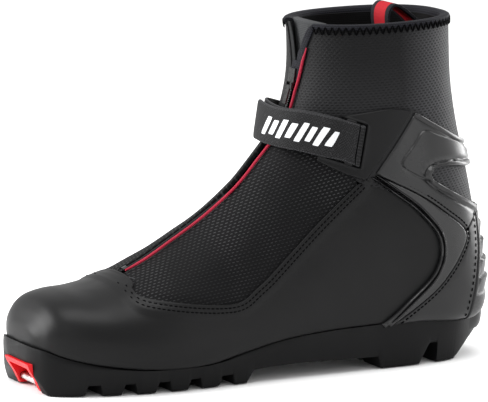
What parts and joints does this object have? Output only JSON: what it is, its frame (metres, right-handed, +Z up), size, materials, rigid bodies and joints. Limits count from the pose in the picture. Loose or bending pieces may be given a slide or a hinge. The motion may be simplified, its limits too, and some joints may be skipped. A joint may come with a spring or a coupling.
{
  "type": "cross country ski boot",
  "caption": "Low ankle cross country ski boot with a centre zip, an ankle cuff with a hook and loop strap, a ribbed sole and a toe bar for a binding.",
  "frame": {"origin": "on the ground under the middle of the boot's bounding box", "axes": "-X towards the toe, +Z up from the ground, -Y towards the outer side of this left boot"},
  "size_m": [0.2958, 0.0948, 0.2055],
  "materials": {
    "vamp_leather": "satin",
    "panel_fabric": "matte",
    "collar_mesh": "matte",
    "binding_tape": "matte",
    "lining_fabric": "matte",
    "foam": "matte",
    "inner_plastic": "matte",
    "shell_plastic": "satin",
    "counter_plastic": "gloss",
    "sole_rubber": "matte",
    "red_plastic": "satin",
    "red_webbing": "matte",
    "webbing": "matte",
    "steel": "brushed"
  },
  "bodies": {
    "boot": {"vamp_shell": "vamp_leather", "lace_cover_outer": "panel_fabric", "lace_cover_inner": "panel_fabric", "collar_sleeve": "collar_mesh", "eyestay_outer": "inner_plastic", "eyestay_inner": "inner_plastic", "toe_puff": "inner_plastic", "heel_stiffener": "inner_plastic", "insulation": "foam", "collar_foam": "foam", "lining": "lining_fabric", "tongue": "collar_mesh", "collar_binding": "binding_tape", "lasting_board": "inner_plastic", "footbed": "lining_fabric", "ankle_cuff": "shell_plastic", "heel_counter": "counter_plastic", "side_band_outer": "counter_plastic", "side_band_inner": "counter_plastic", "strap_wing_outer": "shell_plastic", "strap_wing_inner": "shell_plastic", "outsole": "sole_rubber", "shank": "steel", "toe_insert": "red_plastic", "toe_bar": "steel", "heel_bumper": "sole_rubber", "zip_coil": "inner_plastic", "zip_tape_inner": "binding_tape", "zip_tape_outer": "binding_tape", "zip_bottom_stop": "steel", "red_piping": "red_webbing", "strap_base": "webbing", "strap_rivet_1": "steel", "strap_rivet_2": "steel", "loop_patch": "webbing", "loop_anchor": "webbing"},
    "slider": {"zip_slider": "steel"},
    "pull": {"zip_pull": "steel"},
    "tail": {"strap_tail": "webbing", "hook_patch": "webbing"},
    "loop": {"pull_loop": "red_webbing"}
  },
  "joints": [
    {"name": "zip_slide", "type": "hinge", "parent": "boot", "child": "slider", "pos_m": [-0.06595, -0.0008, 0.1784], "axis": [0, 1, 0], "range_deg": [0, 52]},
    {"name": "pull_swing", "type": "hinge", "parent": "slider", "child": "pull", "pos_m": [0.02089, -0.0008, 0.16122], "axis": [0, 1, 0], "range_deg": [0, 150]},
    {"name": "tail_peel", "type": "hinge", "parent": "boot", "child": "tail", "pos_m": [0.0461, -0.041, 0.136], "axis": [0.1608, -0.0296, 0.9865], "range_deg": [0, 150]},
    {"name": "loop_fold", "type": "hinge", "parent": "boot", "child": "loop", "pos_m": [0.1074, -0.0008, 0.168], "axis": [0, -1, 0], "range_deg": [0, 60], "stiffness_Nm_per_rad": 0.01, "springref_deg": -8.59}
  ]
}
